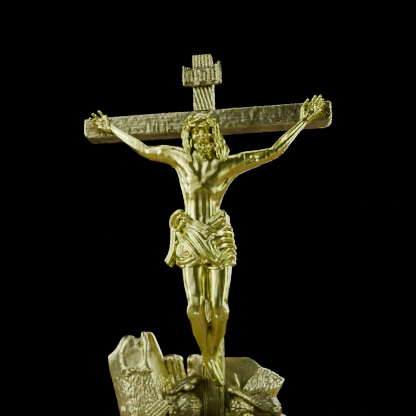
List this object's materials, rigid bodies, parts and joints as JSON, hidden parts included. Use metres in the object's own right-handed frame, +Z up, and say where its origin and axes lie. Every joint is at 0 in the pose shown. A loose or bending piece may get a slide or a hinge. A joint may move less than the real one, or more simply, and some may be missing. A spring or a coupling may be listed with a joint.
{
  "type": "altar cross",
  "caption": "Free-standing cast brass altar cross: a crucified figure on a wood-grained cross with a title board, set in a heap of rocks and ruins.",
  "frame": {"origin": "on the post's axis, in the plane of the resting face under the felt pad", "axes": "+Z up along the post, -Y the way the figure faces, X along the crossbeam with the figure's right hand at -X"},
  "size_m": [0.258, 0.1052, 0.395],
  "materials": {
    "polished_brass": "polished cast brass with darker oxidised hollows",
    "satin_brass": "satin cast brass with a wood-grain texture",
    "matte_brass": "dull, lightly tarnished cast brass with a chiselled texture",
    "brass_pin": "plain drawn brass",
    "steel": "plain turned steel",
    "felt": "dark green wool felt"
  },
  "bodies": {
    "root": {"base_mound": "matte_brass", "base_plate": "matte_brass", "base_plate_screws": "steel", "felt_pad": "felt", "tie_rod": "steel", "tie_washer": "steel", "tie_nut": "steel", "rock_tower": "matte_brass", "column_drum": "matte_brass", "rear_boulder": "matte_brass", "rear_slab": "matte_brass", "hewn_block": "matte_brass", "small_spur": "matte_brass", "fallen_branch": "matte_brass", "front_ledge": "matte_brass", "split_planks": "matte_brass", "front_rubble": "matte_brass", "post": "satin_brass", "crossbeam": "satin_brass", "lap_screw": "steel", "titulus": "satin_brass", "titulus_pins": "brass_pin", "corpus_body": "polished_brass", "corpus_head": "polished_brass", "right_arm": "polished_brass", "left_arm": "polished_brass", "loincloth": "polished_brass", "loincloth_knot": "polished_brass", "crown_of_thorns": "polished_brass", "right_hand_nail": "brass_pin", "left_hand_nail": "brass_pin", "foot_nail": "brass_pin", "corpus_screws": "steel"}
  },
  "joints": []
}
